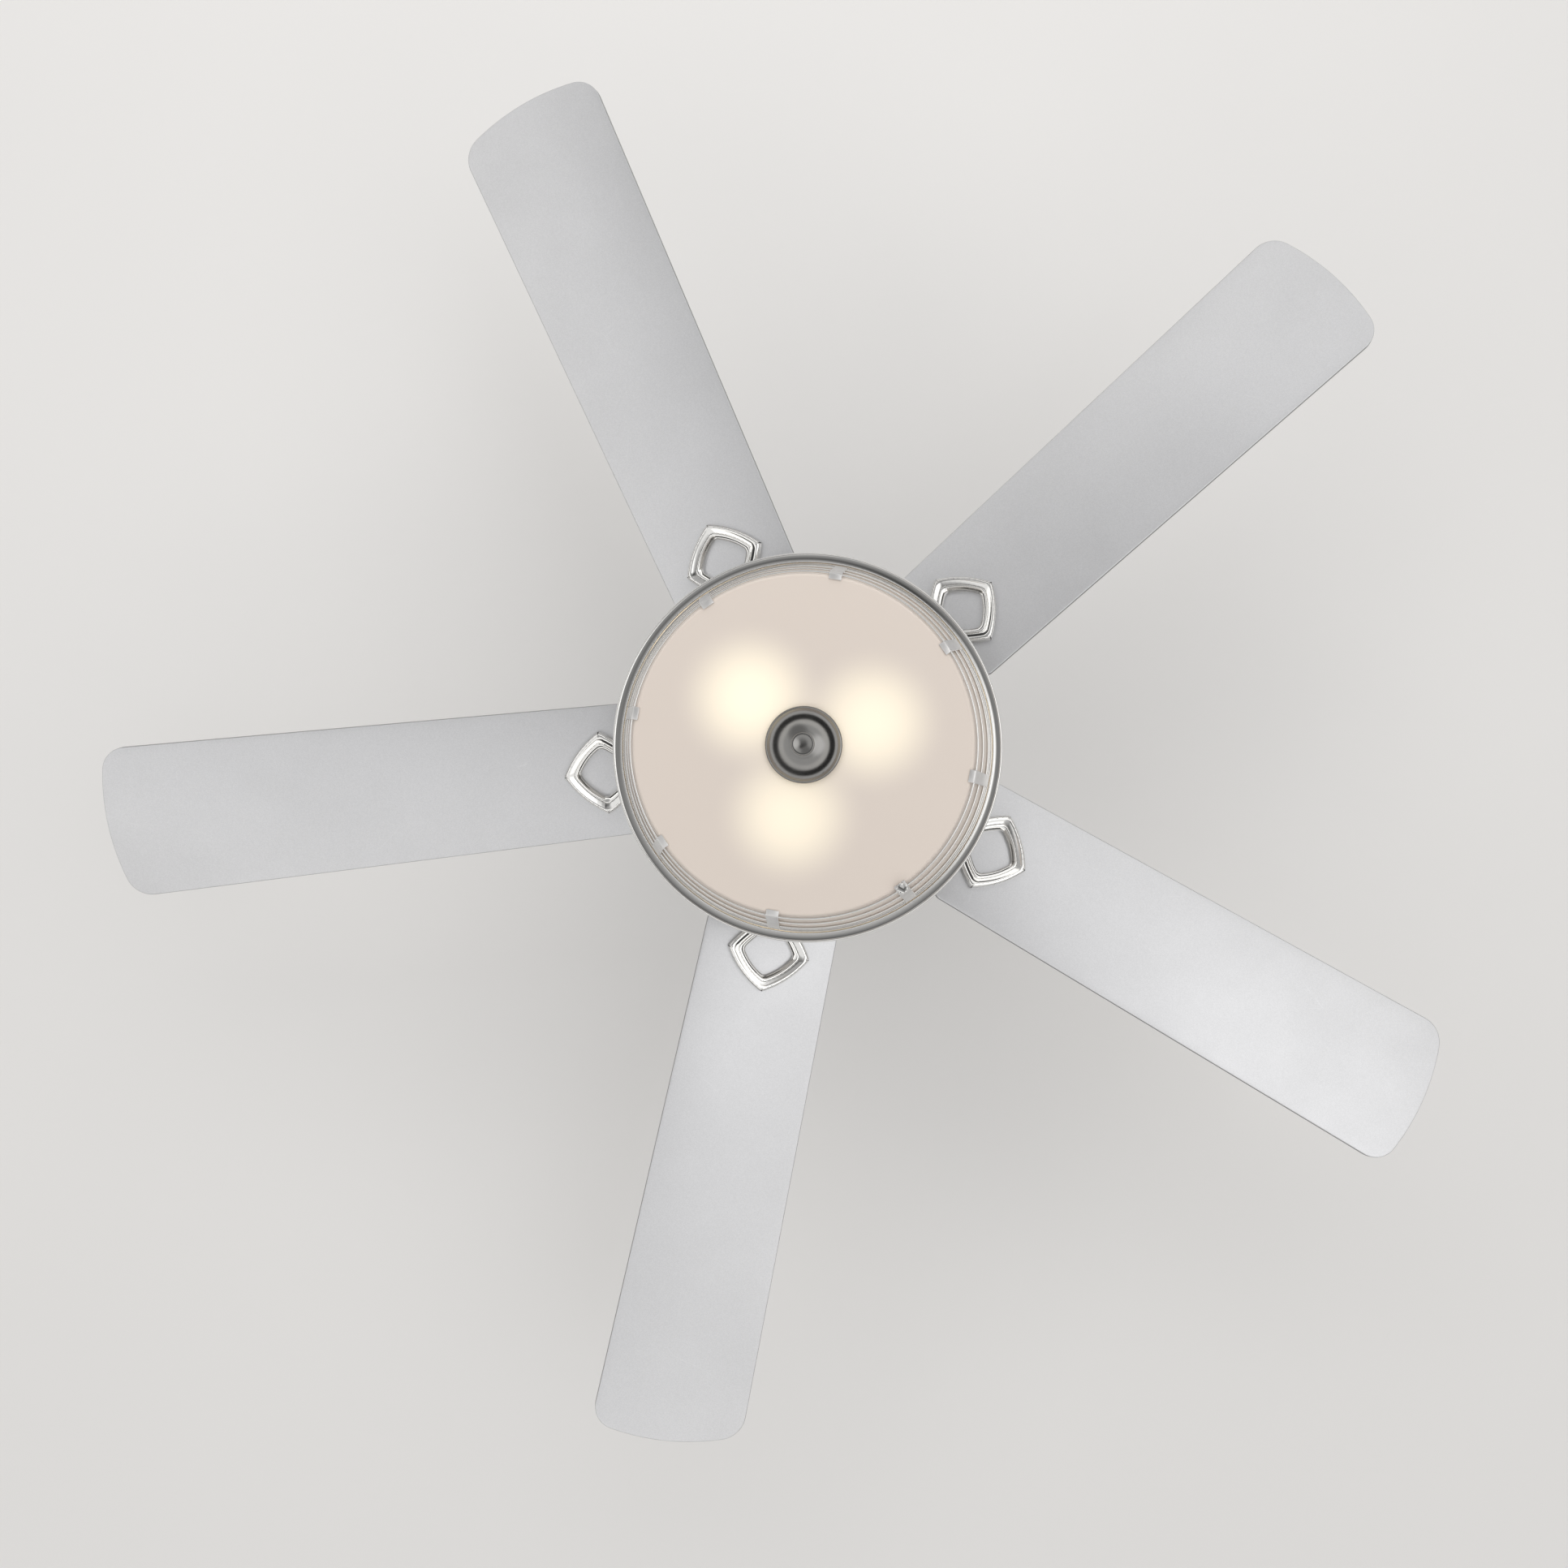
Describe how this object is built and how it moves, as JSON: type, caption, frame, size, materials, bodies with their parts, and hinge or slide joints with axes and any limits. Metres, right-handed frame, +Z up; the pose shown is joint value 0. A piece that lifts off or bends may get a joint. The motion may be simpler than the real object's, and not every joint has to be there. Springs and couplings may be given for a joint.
{
  "type": "ceiling fan with light",
  "caption": "Ceiling fan on a short downrod: flat satin-silver blades on open chrome irons, and a frosted tapering drum light in a chrome cage below.",
  "frame": {"origin": "on the ceiling, at the middle of the hanger bracket's top face", "axes": "+Z up towards the ceiling along the downrod, +X along the hanger bracket's long side"},
  "size_m": [1.251, 1.2686, 0.4562],
  "materials": {
    "zinc_steel": "zinc plated",
    "chrome": "polished plating",
    "satin_plate": "satin plating",
    "dark_nickel": "polished dark nickel",
    "silver_paint": "satin silver paint",
    "silver_board": "fibreboard under satin silver lacquer",
    "black_plastic": "moulded",
    "grey_plastic": "potted box",
    "cast_steel": "machined",
    "rotor_alloy": "as cast and turned",
    "lamination": "stacked sheet steel",
    "copper": "enamelled copper wire",
    "white_enamel": "gloss white",
    "white_ceramic": "glazed",
    "frosted_glass": "acid-frosted, warm white",
    "lamp_glass": "opal",
    "rubber": "matte"
  },
  "bodies": {
    "ceiling_mount": {"ceiling_bracket": "zinc_steel", "canopy": "chrome", "canopy_screws": "chrome"},
    "hanging_fan": {"hanger_ball": "black_plastic", "ball_pin": "zinc_steel", "downrod": "chrome", "yoke": "cast_steel", "yoke_pin": "zinc_steel", "yoke_set_screws": "zinc_steel", "yoke_screws": "zinc_steel", "coupling_cover": "chrome", "motor_adapter": "cast_steel", "motor_housing": "silver_paint", "housing_band": "chrome", "motor_shaft": "cast_steel", "retaining_ring": "zinc_steel", "stator_core": "lamination", "windings": "copper", "switch_plate": "zinc_steel", "shaft_nut": "zinc_steel", "switch_housing": "silver_paint", "capacitor": "grey_plastic", "receiver": "black_plastic", "light_pan": "chrome", "pan_screws": "zinc_steel", "reflector": "white_enamel", "centre_rod": "zinc_steel", "rod_nuts": "zinc_steel", "lamp_bracket": "zinc_steel", "lamp_sockets": "white_ceramic"},
    "rotor": {"upper_bearing": "cast_steel", "lower_bearing": "cast_steel", "rotor_top_shell": "rotor_alloy", "rotor_bottom_shell": "rotor_alloy", "rotor_shell_screws": "zinc_steel", "rotor_core": "lamination", "iron_screws": "zinc_steel", "blade_screws": "chrome", "blade_iron_1": "chrome", "blade_iron_2": "chrome", "blade_iron_3": "chrome", "blade_iron_4": "chrome", "blade_iron_5": "chrome", "blade_1": "silver_board", "blade_2": "silver_board", "blade_3": "silver_board", "blade_4": "silver_board", "blade_5": "silver_board"},
    "bulb_1": {"bulb_1": "lamp_glass"},
    "bulb_2": {"bulb_2": "lamp_glass"},
    "bulb_3": {"bulb_3": "lamp_glass"},
    "shade": {"glass_shade": "frosted_glass", "shade_washer": "rubber", "cage_ring": "chrome", "cage_hoops": "chrome", "cage_straps": "satin_plate", "clamp_strap": "satin_plate"},
    "thumb_screw": {"thumb_screw": "chrome"},
    "finial": {"finial": "dark_nickel"}
  },
  "joints": [
    {"name": "ball_swing", "type": "hinge", "parent": "ceiling_mount", "child": "hanging_fan", "pos_m": [0, 0, -0.0327], "axis": [1, 0, 0], "range_deg": [-15, 15]},
    {"name": "rotor_spin", "type": "hinge", "parent": "hanging_fan", "child": "rotor", "pos_m": [0, 0, -0.2657], "axis": [0, 0, 1], "continuous": true},
    {"name": "bulb_1_turn", "type": "hinge", "parent": "hanging_fan", "child": "bulb_1", "pos_m": [0.01516, -0.00513, -0.3617], "axis": [-0.7759, 0.2626, 0.5736], "range_deg": [0, 900]},
    {"name": "bulb_2_turn", "type": "hinge", "parent": "hanging_fan", "child": "bulb_2", "pos_m": [-0.00314, 0.01569, -0.3617], "axis": [0.1605, -0.8033, 0.5736], "range_deg": [0, 900]},
    {"name": "bulb_3_turn", "type": "hinge", "parent": "hanging_fan", "child": "bulb_3", "pos_m": [-0.01202, -0.01056, -0.3617], "axis": [0.6154, 0.5406, 0.5736], "range_deg": [0, 900]},
    {"name": "shade_drop", "type": "slide", "parent": "hanging_fan", "child": "shade", "axis": [0, 0, -1], "range_m": [0, 0.12]},
    {"name": "finial_drop", "type": "slide", "parent": "shade", "child": "finial", "axis": [0, 0, -1], "range_m": [0, 0.03]},
    {"name": "thumb_screw_turn", "type": "hinge", "parent": "shade", "child": "thumb_screw", "pos_m": [0.07965, 0.11632, -0.4307], "axis": [0, 0, -1], "range_deg": [0, 720]}
  ]
}
